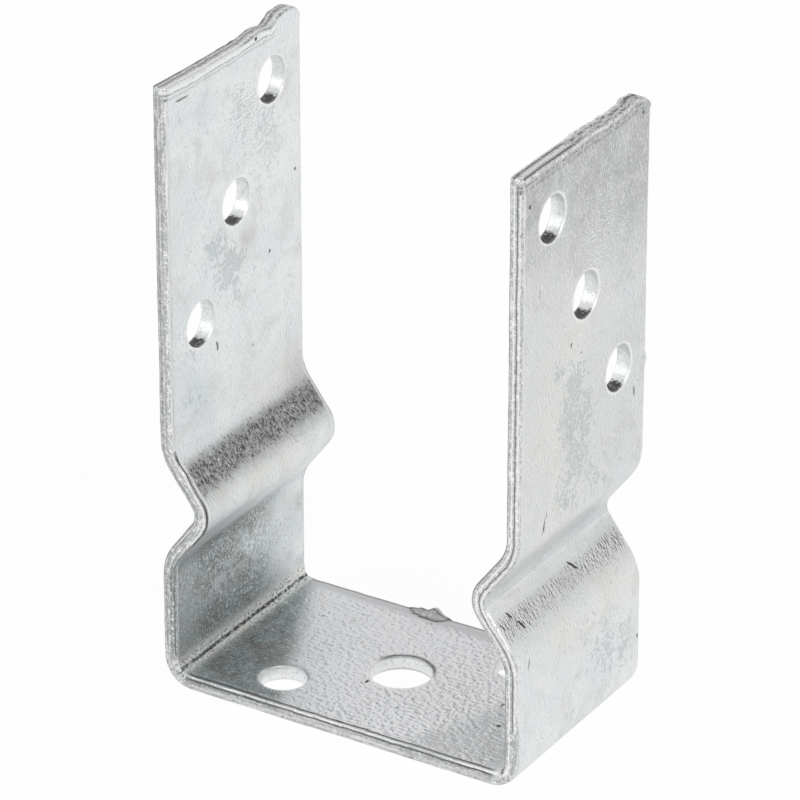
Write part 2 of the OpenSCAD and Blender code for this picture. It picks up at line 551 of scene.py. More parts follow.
# Dull swirls: side of the sheet (1 inside, -1 outside), place along and across the bar, half sizes, strength
DULL_SWIRLS = (
    (1, -164, -9, 5, 6, 0.8), (1, -156, -3, 6, 7, 1.0), (1, -148, -1, 4, 4, 0.6), (1, -141, -22, 5, 4, 0.4),
    (1, -187, 14, 12, 7, 0.5), (1, -196, 3, 8, 6, 0.45), (1, -128, -20, 4, 5, 0.5), (1, -60, 8, 6, 9, 0.4),
    (-1, 150, -5, 7, 5, 1.0), (-1, 142, -8, 6, 5, 1.0), (-1, 140, 0, 8, 5, 0.8), (-1, 131, -3, 7, 6, 0.9),
    (-1, 123, -9, 6, 6, 0.7), (-1, 122, 6, 6, 6, 0.6), (-1, 157, -12, 4, 3, 0.7), (-1, 200, 12, 12, 9, 0.45),
    (-1, 178, 20, 10, 5, 0.4), (-1, 66, 12, 8, 7, 0.7), (-1, 62, 21, 9, 4, 0.6), (-1, 72, 4, 6, 5, 0.4),
    (-1, -180, 6, 12, 9, 0.6), (-1, -132, -8, 10, 8, 0.7), (-1, -65, 10, 7, 9, 0.6), (1, 176, -4, 12, 9, 0.7),
    (1, 134, 10, 8, 8, 0.6), (1, 205, 8, 8, 8, 0.4), (-1, -20, 12, 12, 7, 0.6), (-1, 24, -8, 12, 9, 0.6),
)


def swirl_mask(sheet, inner):
    """Where the coat is dull and swirled."""
    total = np.zeros(len(sheet))
    for side, at_s, at_w, half_s, half_w, strength in DULL_SWIRLS:
        face = inner if side > 0 else 1.0 - inner
        total = np.maximum(total, strength * face * blob(sheet, at_s, at_w, half_s, half_w))
    return total


# On the lower arms, by distance from the middle: where the painted corner shade is thin and where pale
# crystals lie. Place along and across the bar, half length, half width and strength.
THIN_SHADE = ((70.0, 5.0, 5.0, 8.0, 1.0), (66.0, -12.0, 3.5, 8.0, 0.6))
FROST = ((70.0, 6.0, 5.5, 9.0, 1.0), (65.5, -12.0, 4.5, 9.0, 0.7), (66.0, 20.0, 10.0, 8.0, 0.75))
# How strong the painted corner shade and the frost are on the right arm, where the left one has 1
RIGHT_SHADE = 0.45
RIGHT_FROST = 0.6


def ovals(places, table):
    """Sum of soft ovals of a table, from 0 to 1."""
    return np.clip(sum(strength * blob(places, *place) for *place, strength in table), 0.0, 1.0)


def shade_mask(bar, sheet, inner):
    """Painted shade in the bracket's inside corners: down the lower arms, thicker to the front, and over
    the base in a wedge that narrows towards the back. Frosty crystals lie over its upper middle."""
    s, w, _ = sheet.T
    far = np.abs(s)
    side = np.where(s < 0.0, 1.0, RIGHT_SHADE)
    base_edge = bar.starts["base_bend"] - 2.0
    wedge = far - (base_edge - (24.0 - w) * 0.46)
    on_base = 0.86 * smooth(wedge, -3.5, 5.0) * (far < bar.starts["base_bend"] + 4.0)
    _, high = bar.span("kink_foot")
    rear = smooth(w, 3.0, 25.0)
    fade_up = 1.0 - smooth(far, high - 4.5, high + 2.0)
    on_arm = (1.0 - 0.78 * rear) * fade_up * (far >= bar.starts["base_bend"] + 4.0)
    on_arm = on_arm * (1.0 - 0.3 * smooth(-w, 14.0, 26.0)) * (1.0 - 0.3 * ovals(columns(far, w), THIN_SHADE))
    frayed = on_arm + 0.45 * rear * fade_up * lattice_noise(sheet / 4.5, 8)
    on_arm = np.clip(frayed, 0.0, 1.0) * (on_arm > 0.0)
    return np.maximum(on_base, on_arm) * inner * side


def frost_mask(bar, sheet, inner):
    """Where pale crystals lie over the painted corner shade on the lower arms."""
    s, w, _ = sheet.T
    far = np.abs(s)
    side = np.where(s < 0.0, 1.0, RIGHT_FROST)
    return ovals(columns(far, w), FROST) * inner * (far > bar.starts["lower_arm"]) * side


def hole_masks(bar, shape, sheet):
    """Hole walls, the painted shade at the bottom of each arm hole, the thin pale rim round every mouth, and
    the dark lip behind each base hole. All follow the distance from the hole's axis."""
    wall, hole_shade, rim, lip = np.zeros((4, len(sheet)))
    on_face = smooth(np.abs(sheet[:, 2]), 1.2, 1.8)
    for at_s, at_w, radius in hole_table(bar, shape):
        along, across = sheet[:, 0] - at_s, sheet[:, 1] - at_w
        away = np.hypot(along, across)
        inside = 1.0 - smooth(away, radius + 0.05, radius + 0.3)
        wall = np.maximum(wall, inside)
        if abs(at_s) > bar.starts["lower_arm"]:
            down = -along * np.sign(at_s) / np.maximum(away, 0.1)
            # Painted shade on the lower part of the arm hole's wall
            hole_shade = np.maximum(hole_shade, inside * smooth(down, 0.72, 1.02))
            rim = np.maximum(rim, bell(away, radius + 0.35, 0.3) * on_face)
        else:
            behind = across / np.maximum(away, 0.1)
            ring = bell(away, radius + 0.4, 0.42) * on_face
            size = (radius / 8.0) ** 3
            lip = np.maximum(lip, ring * smooth(behind, 0.1, 0.6) * size)
            rim = np.maximum(rim, ring * (1.0 - size * smooth(behind, -0.1, 0.5)) * 0.8)
    return wall, hole_shade, rim, lip


def kink_masks(bar, sheet, inner):
    """Bands across the kinks, each a plateau along the bar: the grain pulled thin inside with a painted dark
    reflection over it, the streaks and the painted shade in the hollow at the tip outside, and the painted
    shadow line along the foot inside."""
    far = np.abs(sheet[:, 0])
    outer = 1.0 - inner
    across = np.abs(sheet[:, 1])
    flat = smooth(29.3 - across, -0.3, 1.4)
    from_flank = far - np.mean(bar.span("upper_flank")) - 1.5
    # The band inside the kinks: real grain, with a painted dark reflection over it
    stretch_and_reflection = plateau(from_flank, -10.0, -1.6, 0.2, 6.6) * inner * flat
    from_streaks = far - bar.starts["lower_flank"] - 4.8
    streaked = plateau(from_streaks, -7.0, -1.0, 0.6, 2.8) * outer * flat
    streaked = streaked * (0.75 + 0.25 * smooth(across, 8.0, 20.0))
    from_tip = far - np.mean(bar.span("kink_tip"))
    # Painted shade in the hollow outside each kink's tip
    valley_shade = plateau(from_tip, -2.3, -1.6, -0.4, 5.5) * outer
    _, foot = bar.span("kink_foot")
    # Painted shadow line along each kink's foot inside
    foot_shadow_line = plateau(far - foot, -6.0, -3.4, -2.2, 1.5) * inner
    return stretch_and_reflection, streaked, valley_shade, foot_shadow_line


def crease_masks(bar, sheet, inner):
    """Painted shadow in the fold's tight crease along the middle of the base bend, and the bright rims beside
    it, wider up the arm.
    """
    beside = np.abs(sheet[:, 0]) - np.mean(bar.span("base_bend"))
    crease_shadow = bell(beside, 0.0, 0.8) * inner
    above = plateau(beside, 0.3, 1.0, 1.9, 6.5)
    below = plateau(-beside, 0.3, 1.0, 1.5, 3.6)
    return crease_shadow, np.maximum(above, below) * inner


# Stains: 0 warm, 1 cool or 2 sooty, side of the sheet, place along and across the bar, half length and width
STAINS = (
    (0, -1, 148.0, -10.0, 38.0, 22.0), (0, -1, 78.0, -6.0, 9.0, 17.0), (0, -1, 80.0, 20.0, 5.0, 10.0),
    (0, 1, -118.0, 16.0, 7.0, 12.0), (0, 1, -99.0, -6.0, 3.0, 22.0), (0, -1, 105.0, -18.0, 10.0, 5.0),
    (1, 1, -203.0, -13.0, 8.0, 5.0),
    (1, 1, -130.0, -18.0, 12.0, 6.0), (1, -1, 149.0, -2.0, 7.0, 5.0), (1, 1, -80.0, 0.0, 3.0, 30.0),
    (1, -1, 199.0, -14.0, 7.0, 7.0), (1, -1, 62.0, 12.0, 8.0, 10.0), (2, -1, 88.5, 3.0, 2.6, 6.0),
    (2, -1, 90.5, 24.0, 3.0, 6.0), (2, 1, -115.0, 25.0, 6.0, 5.0), (2, 1, -196.0, 22.0, 4.0, 4.0),
    (2, -1, 139.0, -8.0, 3.0, 2.0), (2, 1, -162.0, 4.0, 3.0, 3.0),
)


def stain_masks(sheet, inner):
    """Warm, cool and sooty stains, each the sum of soft ovals on its own side."""
    total = np.zeros((3, len(sheet)))
    for kind, side, at_s, at_w, half_s, half_w in STAINS:
        face = inner if side > 0 else 1.0 - inner
        total[kind] += blob(sheet, at_s, at_w, half_s, half_w) * face
    return np.clip(total, 0.0, 1.0)


# The masks that the piece carries, three to a vector
MASK_SETS = {
    "bends": ("stretch_and_reflection", "streaked", "valley_shade"), "corners": ("foot_shadow_line", "crease", "crease_rim"),
    "borders": ("edge", "end", "rear_shade_band"), "holes": ("wall", "hole_shade", "rim"),
    "base": ("on_base", "peel", "lip"), "bloom": ("shade", "frost", "drip"),
    "wear": ("swirl", "outer_grey", "scuffed"), "stains": ("warmed", "chilled", "sooty"),
}


def masks(bar, shape, sheet):
    """What the coat looks like at each point, each mask from 0 to 1, and the masks packed in threes."""
    s, w, n = sheet.T
    far = np.abs(s)
    inner = smooth(n, -0.8, 1.2)
    stretch_and_reflection, streaked, valley_shade, foot_shadow_line = kink_masks(bar, sheet, inner)
    crease, crease_rim = crease_masks(bar, sheet, inner)
    wall, hole_shade, rim, lip = hole_masks(bar, shape, sheet)
    edge = smooth(np.abs(w), bar.width / 2 - bar.edge - 0.1, bar.width / 2 - 0.5)
    end = smooth(far, bar.half_length - 0.5, bar.half_length - 0.1)
    on_base = 1.0 - smooth(far, bar.starts["base_bend"] - 3.0, bar.starts["base_bend"] + 1.0)
    peel = on_base * inner * (0.5 + 0.5 * smooth(s - 0.6 * w, -25.0, 35.0))
    shade = shade_mask(bar, sheet, inner)
    peel = peel * (1.0 - smooth(w, 24.0, 27.0)) * smooth(28.9 - np.abs(w), -0.4, 1.0) * (1.0 - 0.75 * shade)
    peel = peel * (0.72 + 0.28 * lattice_noise(sheet / 5.0, 7))
    # Painted shade: a darker band along the back edge of the base's top
    rear_shade_band = on_base * inner * smooth(w + 0.04 * s, 23.0, 26.5)
    # Greyer towards the arm ends on the outside
    outer_grey = 0.08 + 0.22 * smooth(far, 96.0, 128.0) + 0.65 * smooth(far + 0.2 * w, 166.0, 203.0)
    scuffed = blob(sheet, -194.0, 4.0, 15.0, 13.0) * inner + 0.8 * blob(sheet, 186.0, 6.0, 14.0, 12.0)
    warmed, chilled, sooty = stain_masks(sheet, inner)
    made = {
        "stretch_and_reflection": stretch_and_reflection, "streaked": streaked, "valley_shade": valley_shade, "foot_shadow_line": foot_shadow_line,
        "crease": crease, "crease_rim": crease_rim, "edge": edge, "end": end, "peel": peel,
        "rear_shade_band": rear_shade_band, "wall": wall, "hole_shade": hole_shade, "rim": rim, "lip": lip,
        "swirl": swirl_mask(sheet, inner), "shade": shade,
        "frost": frost_mask(bar, sheet, inner), "on_base": on_base, "drip": drip_shape(sheet),
        "outer_grey": outer_grey * (1.0 - inner), "scuffed": np.clip(scuffed, 0.0, 1.0),
        "warmed": warmed, "chilled": chilled, "sooty": sooty,
    }
    return {key: np.column_stack([made[name] for name in names]) for key, names in MASK_SETS.items()}


def make_piece(name, points, quads, vectors):
    """A closed mesh object from arrays, its doubles merged and its faces turned outwards."""
    mesh = bpy.data.meshes.new(name)
    mesh.vertices.add(len(points))
    mesh.vertices.foreach_set("co", np.asarray(points, np.float32).reshape(-1))
    mesh.loops.add(quads.size)
    mesh.loops.foreach_set("vertex_index", quads.reshape(-1).astype(np.int32))
    mesh.polygons.add(len(quads))
    mesh.polygons.foreach_set("loop_start", np.arange(0, quads.size, 4, dtype=np.int32))
    mesh.update(calc_edges=True)
    for key, values in vectors.items():
        layer = mesh.attributes.new(key, "FLOAT_VECTOR", "POINT")
        layer.data.foreach_set("vector", values.astype(np.float32).reshape(-1))
    work = bmesh.new()
    work.from_mesh(mesh)
    bmesh.ops.remove_doubles(work, verts=work.verts, dist=1e-6)
    bmesh.ops.recalc_face_normals(work, faces=work.faces)
    work.to_mesh(mesh)
    work.free()
    mesh.polygons.foreach_set("use_smooth", np.ones(len(mesh.polygons), bool))
    piece = bpy.data.objects.new(name, mesh)
    bpy.context.scene.collection.objects.link(piece)
    return piece


class Graph:
    """Short calls for the nodes of one tree."""

    def __init__(self, tree):
        self.tree = tree

    def node(self, kind, **settings):
        """A node with its settings."""
        made = self.tree.nodes.new(kind)
        for key, value in settings.items():
            setattr(made, key, value)
        return made

    def feed(self, socket, value):
        """Links an output to a socket, or sets the socket's own value. A colour gets full alpha."""
        if isinstance(value, bpy.types.NodeSocket):
            self.tree.links.new(value, socket)
        elif value is not None:
            socket.default_value = (*value, 1.0) if socket.type == "RGBA" else value

    def math(self, operation, first, second=None, third=None, clamp=False):
        """One sum."""
        made = self.node("ShaderNodeMath", operation=operation, use_clamp=clamp)
        for socket, value in zip(made.inputs, (first, second, third)):
            self.feed(socket, value)
        return made.outputs[0]

    def times(self, first, second, clamp=False):
        """A product."""
        return self.math("MULTIPLY", first, second, clamp=clamp)

    def vector(self, operation, first, second=None):
        """One vector sum."""
        made = self.node("ShaderNodeVectorMath", operation=operation)
        self.feed(made.inputs[0], first)
        self.feed(made.inputs[1], second)
        return made.outputs["Value" if operation == "LENGTH" else "Vector"]

    def step(self, value, low, high, bottom=0.0, top=1.0):
        """Smooth step of a value between low and high."""
        made = self.node("ShaderNodeMapRange", interpolation_type="SMOOTHSTEP")
        for socket, item in zip(made.inputs, (value, low, high, bottom, top)):
            self.feed(socket, item)
        return made.outputs[0]

    def mix(self, share, first, second):
        """Mix of two colours."""
        made = self.node("ShaderNodeMix", data_type="RGBA")
        for place, value in ((0, share), (6, first), (7, second)):
            self.feed(made.inputs[place], value)
        return made.outputs[2]

    def noise(self, place, size, detail=2.0, roughness=0.5, distortion=0.0):
        """Noise with features of about the given size, in the place's own units."""
        made = self.node("ShaderNodeTexNoise")
        self.feed(made.inputs["Vector"], place)
        for key, value in (("Scale", 1.0 / size), ("Detail", detail), ("Roughness", roughness),
                           ("Distortion", distortion)):
            made.inputs[key].default_value = value
        return made.outputs["Fac"]

    def stretch(self, place, scale, turn=0.0):
        """A place scaled along its three axes, then turned about the third by an angle in degrees."""
        made = self.node("ShaderNodeMapping")
        self.feed(made.inputs["Vector"], place)
        made.inputs["Rotation"].default_value = (0.0, 0.0, math.radians(turn))
        made.inputs["Scale"].default_value = scale
        return made.outputs[0]

    def parts(self, vector):
        """The three parts of a vector."""
        made = self.node("ShaderNodeSeparateXYZ")
        self.feed(made.inputs[0], vector)
        return made.outputs

    def attribute(self, name):
        """A vector that the mesh carries."""
        return self.node("ShaderNodeAttribute", attribute_name=name).outputs["Vector"]

    def group(self, tree, values):
        """The outputs of a node group whose inputs are fed by name."""
        made = self.node("ShaderNodeGroup", node_tree=tree)
        for key, value in values.items():
            self.feed(made.inputs[key], value)
        return made.outputs


def new_material(name):
    """An empty material and the graph of its nodes."""
    material = bpy.data.materials.new(name)
    material.use_nodes = True
    material.node_tree.nodes.clear()
    return material, Graph(material.node_tree)


def new_group(name, inputs, outputs):
    """A shader node group with named sockets, and the graph, inputs and output node inside it."""
    tree = bpy.data.node_groups.new(name, "ShaderNodeTree")
    for key, kind, value in inputs:
        socket = tree.interface.new_socket(key, in_out="INPUT", socket_type="NodeSocket" + kind)
        if value is not None:
            socket.default_value = value
    for key, kind in outputs:
        tree.interface.new_socket(key, in_out="OUTPUT", socket_type="NodeSocket" + kind)
    graph = Graph(tree)
    entry = graph.node("NodeGroupInput")
    leave = graph.node("NodeGroupOutput")
    return tree, graph, entry.outputs, leave.inputs


# The outputs of the grain and the fleck group
LAYER_OUTPUTS = (("Dark", "Float"), ("Bright", "Float"), ("Height", "Float"))


def mark_group():
    """Mask of one long or round mark: the distance from its centre, turned and scaled to its half sizes."""
    tree, graph, given, result = new_group(
        "coat_mark",
        (("Sheet", "Vector", None), ("Centre", "Vector", None), ("Turn", "Vector", None),
         ("Half Size", "Vector", (1.0, 1.0, 1.0))),
        (("Mask", "Float"),))
    local = graph.node("ShaderNodeMapping", vector_type="TEXTURE")
    sources = ("Sheet", "Centre", "Turn", "Half Size")
    for key, source in zip(("Vector", "Location", "Rotation", "Scale"), sources):
        graph.feed(local.inputs[key], given[source])
    away = graph.vector("LENGTH", local.outputs[0])
    graph.feed(result["Mask"], graph.step(away, 1.1, 0.7))
    return tree


def grain_group():
    """Salt and pepper grain: a coarse and a fine noise are added and cut off at a dark and a bright level.
    Both levels draw back as the share falls, so the grains thin out instead of fading."""
    tree, graph, given, result = new_group(
        "coat_grain",
        (("Place", "Vector", None), ("Share", "Float", 1.0), ("Dark Level", "Float", 0.46),
         ("Bright Level", "Float", 0.56)),
        LAYER_OUTPUTS)
    coarse = graph.noise(given["Place"], 0.95, 3.0, 0.75, 0.3)
    fine = graph.noise(given["Place"], 0.45, 2.0, 0.7)
    both = graph.math("MULTIPLY_ADD", coarse, 0.5, graph.times(fine, 0.5))
    thinned = graph.math("MULTIPLY_ADD", given["Share"], 0.15, graph.math("SUBTRACT", both, 0.15))
    bright = graph.math("SUBTRACT", thinned, given["Bright Level"])
    there = graph.step(given["Share"], 0.0, 0.25)
    graph.feed(result["Bright"], graph.times(graph.step(bright, 0.0, 0.06), there))
    thinned = graph.math("MULTIPLY_ADD", given["Share"], -0.15, graph.math("ADD", both, 0.15))
    dark = graph.math("SUBTRACT", thinned, given["Dark Level"])
    graph.feed(result["Dark"], graph.times(graph.step(dark, 0.0, -0.07), there))
    graph.feed(result["Height"], both)
    return tree


def shaded_fleck_group():
    """Small raised flecks with a painted shaded side and a painted highlight side: the difference between a
    noise and the same noise a short way off. The level that it has to pass falls as the share grows."""
    tree, graph, given, result = new_group(
        "coat_flecks",
        (("Place", "Vector", None), ("Shift", "Vector", (0.0, 0.35, 0.0)), ("Share", "Float", 1.0),
         ("Level", "Float", 0.02), ("Soft", "Float", 0.07)),
        LAYER_OUTPUTS)
    here = graph.noise(given["Place"], 1.0, 3.0, 0.65, 0.25)
    there = graph.noise(graph.vector("ADD", given["Place"], given["Shift"]), 1.0, 3.0, 0.65, 0.25)
    slope = graph.math("SUBTRACT", here, there)
    shown = graph.step(given["Share"], 0.0, 0.25)
    for key, turn in (("Bright", 1.0), ("Dark", -1.0)):
        steep = graph.math("MULTIPLY_ADD", slope, turn, -0.15)
        steep = graph.math("MULTIPLY_ADD", given["Share"], 0.15, steep)
        steep = graph.math("SUBTRACT", steep, given["Level"])
        graph.feed(result[key], graph.times(graph.step(steep, 0.0, given["Soft"]), shown))
    graph.feed(result["Height"], here)
    return tree


def clouds_group():
    """Slow clouds of pale, cool and warm zinc, from two wandering noises."""
    tree, graph, given, result = new_group(
        "zinc_clouds",
        (("Place", "Vector", None), ("Pale", "Color", (1, 1, 1, 1)), ("Cool", "Color", (1, 1, 1, 1)),
         ("Warm", "Color", (1, 1, 1, 1))),
        (("Color", "Color"), ("Cloud", "Float")))
    wide = graph.noise(given["Place"], 26.0, 4.0, 0.6, 0.8)
    small = graph.noise(given["Place"], 9.0, 5.0, 0.65, 0.5)
    cooled = graph.mix(graph.step(wide, 0.42, 0.62), given["Pale"], given["Cool"])
    warmed = graph.mix(graph.step(small, 0.50, 0.72), cooled, given["Warm"])
    graph.feed(result["Color"], warmed)
    graph.feed(result["Cloud"], small)
    return tree


# Painted highlight and shade lines along the rolled edges. Face (1 inside, -1 outside), from and to along the
# bar, the level that a noise must pass, and the lines: place round the edge (-1.1 where the face ends, 0 on
# the corner,
# 1.1 where the side starts and 2 on its middle line), half width, and how far the colour goes to dark shade,
# or to a white highlight where it is negative.
EDGE_LINES = (
    (-1, -214, -54, 0.30, ((0.2, 0.4, 0.6), (1.3, 0.35, 0.4))),
    (1, -214, -114, 0.25, ((-0.4, 0.5, -0.8), (1.7, 0.3, 0.25))),
    (1, -117, -87, 0.20, ((-1.5, 0.3, -0.8), (-0.5, 0.55, 1.0), (0.6, 0.25, -0.9))),
    (1, -90, -52, 0.30, ((-0.8, 0.25, -0.6), (0.3, 0.35, 0.65), (1.4, 0.3, 0.4))),
    (1, -47, 46, 0.27, ((-2.2, 0.4, -0.3), (-1.1, 0.45, 1.0), (-0.2, 0.25, -0.5), (0.7, 0.36, 0.9))),
    (1, 46, 214, 0.28, ((-0.1, 0.45, 0.6), (1.65, 0.25, -0.8))),
    (-1, 60, 214, 0.30, ((-0.9, 0.3, -0.4), (0.8, 0.35, -0.7), (1.55, 0.2, 0.8))),
    (-1, -44, 44, 0.35, ((-0.2, 0.35, 0.35), (1.6, 0.3, -0.3))),
)

# Painted highlight and shade lines on the sheared ends: arm (-1 left, 1 right), from and to across the bar,
# noise level, and the lines by their place through the thickness.
END_LINES = (
    (-1, -33, 7, 0.25, ((-1.7, 0.65, 1.0), (0.1, 0.3, 0.6), (1.4, 0.4, -0.8))),
    (-1, 3, 32, 0.38, ((-1.7, 0.5, 0.9), (-0.2, 0.4, 0.6), (1.1, 0.45, -0.7), (1.9, 0.3, 0.8))),
    (1, -33, -5, 0.30, ((-1.5, 0.35, 0.9), (-0.5, 0.5, -0.6), (0.8, 0.35, 0.85))),
    (1, -9, 26, 0.46, ((-1.6, 0.4, 0.8), (0.0, 0.6, 0.9), (1.2, 0.5, -0.9))),
    (1, 18, 33, 0.30, ((0.2, 0.8, 0.9), (1.5, 0.3, -0.8))),
)

# Painted highlight and shadow lines on one face just below the sheared ends: arm, face, from and to across
# the bar, noise level, and the lines by their distance from the end.
BRIM_LINES = (
    (-1, 1, -33, 20, 0.33, ((1.4, 0.4, -0.75), (2.3, 0.25, 0.5), (3.6, 0.4, 0.25))),
    (1, -1, -33, 28, 0.44, ((0.9, 0.5, -0.7), (1.9, 0.4, 0.6), (3.2, 0.6, 0.4))),
)


# Distance over which a line fades in and out at its ends, mm, and the tones of painted shade and highlight
# lines
LINE_FADE = 3.0
SHADE_LINE = 0.11
HIGHLIGHT_LINE = 0.97


def lay_lines(graph, laid, value, low, high, lines, share):
    """Adds thin lines to a tone and its cover. A ramp over the value from low to high is clear but for a peak
    of dark or white at each line, as wide as twice its half width; the cover is the greater of the two."""
    ramp = graph.node("ShaderNodeValToRGB")
    scale = 1.0 / (high - low)
    graph.feed(ramp.inputs[0], graph.math("MULTIPLY_ADD", value, scale, -low * scale))
    stops = ramp.color_ramp.elements
    for end in stops:
        end.color = (0.5, 0.5, 0.5, 0.0)
    for place, half, strength in lines:
        tone = SHADE_LINE if strength > 0.0 else HIGHLIGHT_LINE
        for shift, alpha in ((-1.3, 0.0), (-0.35, 1.0), (0.35, 1.0), (1.3, 0.0)):
            stop = stops.new((place + shift * half - low) * scale)
            stop.color = (tone, tone, tone, alpha * abs(strength))
    cover = graph.times(ramp.outputs["Alpha"], share)
    tone = graph.mix(graph.step(cover, 0.0, 0.2), laid[0], ramp.outputs["Color"])
    return tone, graph.math("MAXIMUM", laid[1], cover)


def thin_lines(graph, bar, sheet, end):
    """The tone and the cover of all thin lines: painted highlights and shade along the rolled edges, on the
    sheared ends and just below them. A point's place round the rolled edge is its distance across the bar
    less its distance through the thickness, less 28."""
    laid = (0.5, 0.5, 0.5), 0.0
    sway = graph.noise(graph.stretch(sheet, (0.2, 0.22, 0.2)), 1.0, 4.0, 0.65)
    sway = graph.math("MULTIPLY_ADD", sway, 0.9, -0.45)
    parts = graph.parts(sheet)
    s, w = (graph.math("ADD", part, sway) for part in parts[:2])
    n = graph.math("MULTIPLY_ADD", sway, 0.3, parts[2])
    cut = graph.noise(graph.stretch(sheet, (0.55, 0.55, 1.0)), 1.0, 3.0, 0.75)

    def part(along, start, stop, level, side):
        inside = graph.times(graph.step(along, start, start + LINE_FADE),
                             graph.step(along, stop, stop - LINE_FADE))
        broken = graph.step(cut, level, level + 0.1)
        return graph.times(graph.times(inside, broken), side)

    core = bar.width / 2 - bar.thick / 2
    round_edge = graph.math("SUBTRACT", graph.math("ABSOLUTE", w), graph.math("ABSOLUTE", n))
    round_edge = graph.math("SUBTRACT", round_edge, core)
    front = graph.step(w, 6.0, -6.0, 0.6, 1.0)
    inside = graph.step(n, -0.15, 0.15)
    sides = {1: graph.times(inside, front),
             -1: graph.times(graph.math("SUBTRACT", 1.0, inside), front)}
    for face, start, stop, level, lines in EDGE_LINES:
        share = part(s, start, stop, level, sides[face])
        laid = lay_lines(graph, laid, round_edge, -5.0, 3.0, lines, share)
    arms = {1: graph.step(s, -1.0, 1.0), -1: graph.step(s, 1.0, -1.0)}
    through = graph.math("ADD", n, sway)
    for arm, start, stop, level, lines in END_LINES:
        share = part(w, start, stop, level, graph.times(end, arms[arm]))
        laid = lay_lines(graph, laid, through, -3.0, 3.0, lines, share)
    from_end = graph.math("SUBTRACT", bar.half_length, graph.math("ABSOLUTE", s))
    from_end = graph.math("MULTIPLY_ADD", sway, 1.4, from_end)
    for arm, face, start, stop, level, lines in BRIM_LINES:
        on_face = inside if face > 0 else graph.math("SUBTRACT", 1.0, inside)
        share = part(w, start, stop, level, graph.times(on_face, arms[arm]))
        laid = lay_lines(graph, laid, from_end, -1.0, 8.0, lines, share)
    return laid


# Old marks: side of the sheet, place along and across the bar, half length, half width, turn in degrees,
# and how dark it is. A turn of 0 lies along the bar and 90 across it.
OLD_MARKS = (
    (1, -153.7, 14.5, 0.55, 0.45, 0, 0.9), (1, -213.2, 9.4, 0.6, 0.55, 0, 1.0),
    (1, -209.2, -23.0, 3.0, 0.38, 88, 0.7), (1, -137.5, -9.5, 1.6, 0.5, 12, 0.75),
    (1, -171.5, 26.5, 0.5, 0.5, 0, 0.8), (1, -131.0, 6.5, 0.45, 0.4, 0, 0.5),
    (-1, 206.5, -27.0, 0.6, 0.5, 0, 0.9), (-1, 162.5, -6.8, 0.9, 0.38, 0, 0.8),
    (-1, 210.3, 25.9, 0.55, 0.5, 0, 1.0), (-1, 137.0, 24.2, 1.7, 0.5, -8, 0.7),
    (-1, 119.0, -18.6, 2.1, 0.4, 10, 0.9), (-1, 121.5, -17.6, 1.0, 0.3, 14, 0.6),
    (-1, 89.9, 6.6, 2.2, 0.42, 140, 1.0), (-1, 86.6, -21.2, 1.9, 0.4, 150, 1.0),
    (-1, 90.2, -23.4, 1.3, 0.4, 150, 0.9), (-1, 60.9, 28.6, 0.7, 0.4, 10, 0.9),
    (-1, 78.0, -24.5, 1.4, 0.5, 30, 0.45), (-1, 158.5, -2.0, 0.4, 0.35, 0, 0.5),
    (1, -4.8, -8.6, 0.4, 0.85, 0, 1.0), (1, 34.5, -10.1, 0.75, 0.55, 20, 1.0),
    (1, 30.0, -0.8, 0.35, 0.9, 0, 0.8), (1, 8.5, -15.5, 0.5, 0.4, 0, 0.6),
    (1, -32.0, 14.0, 0.5, 0.4, 0, 0.6), (-1, 182.0, -22.0, 1.4, 0.3, 5, 0.4),
)


def old_marks(graph, sheet):
    """The darkest of the old marks at each place."""
    tree = mark_group()
    wobble = graph.node("ShaderNodeCombineXYZ")
    graph.feed(wobble.inputs[0], graph.math("MULTIPLY_ADD", graph.noise(sheet, 1.1, 2.0), 0.9, -0.45))
    graph.feed(wobble.inputs[1], graph.math("MULTIPLY_ADD", graph.noise(sheet, 0.7, 2.0), 0.7, -0.35))
    sheet = graph.vector("ADD", sheet, wobble.outputs[0])
    total = None
    for side, at_s, at_w, half_s, half_w, turn, dark in OLD_MARKS:
        mark = graph.group(tree, {"Sheet": sheet, "Centre": (at_s, at_w, side * 2.0),
                                  "Turn": (0.0, 0.0, math.radians(turn)), "Half Size": (half_s, half_w, 2.0)})
        shown = graph.times(mark["Mask"], dark)
        total = shown if total is None else graph.math("MAXIMUM", total, shown)
    return total


# Colours of the coat that are the same on every finish
WHITE = (0.97, 0.97, 0.965)
# Painted shadow in the tight crease of the base bends
CREASE_SHADOW = (0.05, 0.05, 0.05)
# Painted shade at the bottom of the arm holes
HOLE_SHADE = (0.035, 0.035, 0.035)
# Brownish painted corner shade
BROWN_SHADE = (0.15, 0.15, 0.14)
# Grain over the painted corner shade
SHADE_GRAIN = (0.16, 0.17, 0.165)
# Painted dark reflection on the bands inside the kinks
BAND_DARK_REFLECTION = (0.27, 0.27, 0.26)
STREAKED = (0.46, 0.46, 0.43)
CRYSTALS = (0.74, 0.80, 0.82)
CRYSTAL_GRAIN = (0.25, 0.27, 0.27)
FOLD_RIM = (0.86, 0.86, 0.82)
# Painted shaded side of the orange peel's ripples
PEEL_SHADE = (0.30, 0.30, 0.33)
EDGE_GRAIN = (0.20, 0.20, 0.19)
DRIP = (0.33, 0.34, 0.33)

# Blotchy stains, and even tones of painted shade: mask, how strong, and colour
STAIN_TONES = (("warmed", 0.6, (0.80, 0.79, 0.73)), ("chilled", 0.55, (0.68, 0.75, 0.77)),
               ("sooty", 0.6, (0.47, 0.46, 0.45)))
PAINTED_SHADE_TONES = (("rear_shade_band", 0.55, (0.46, 0.46, 0.47)), ("valley_shade", 0.6, (0.49, 0.54, 0.54)),
              ("foot_shadow_line", 0.3, (0.50, 0.55, 0.55)))


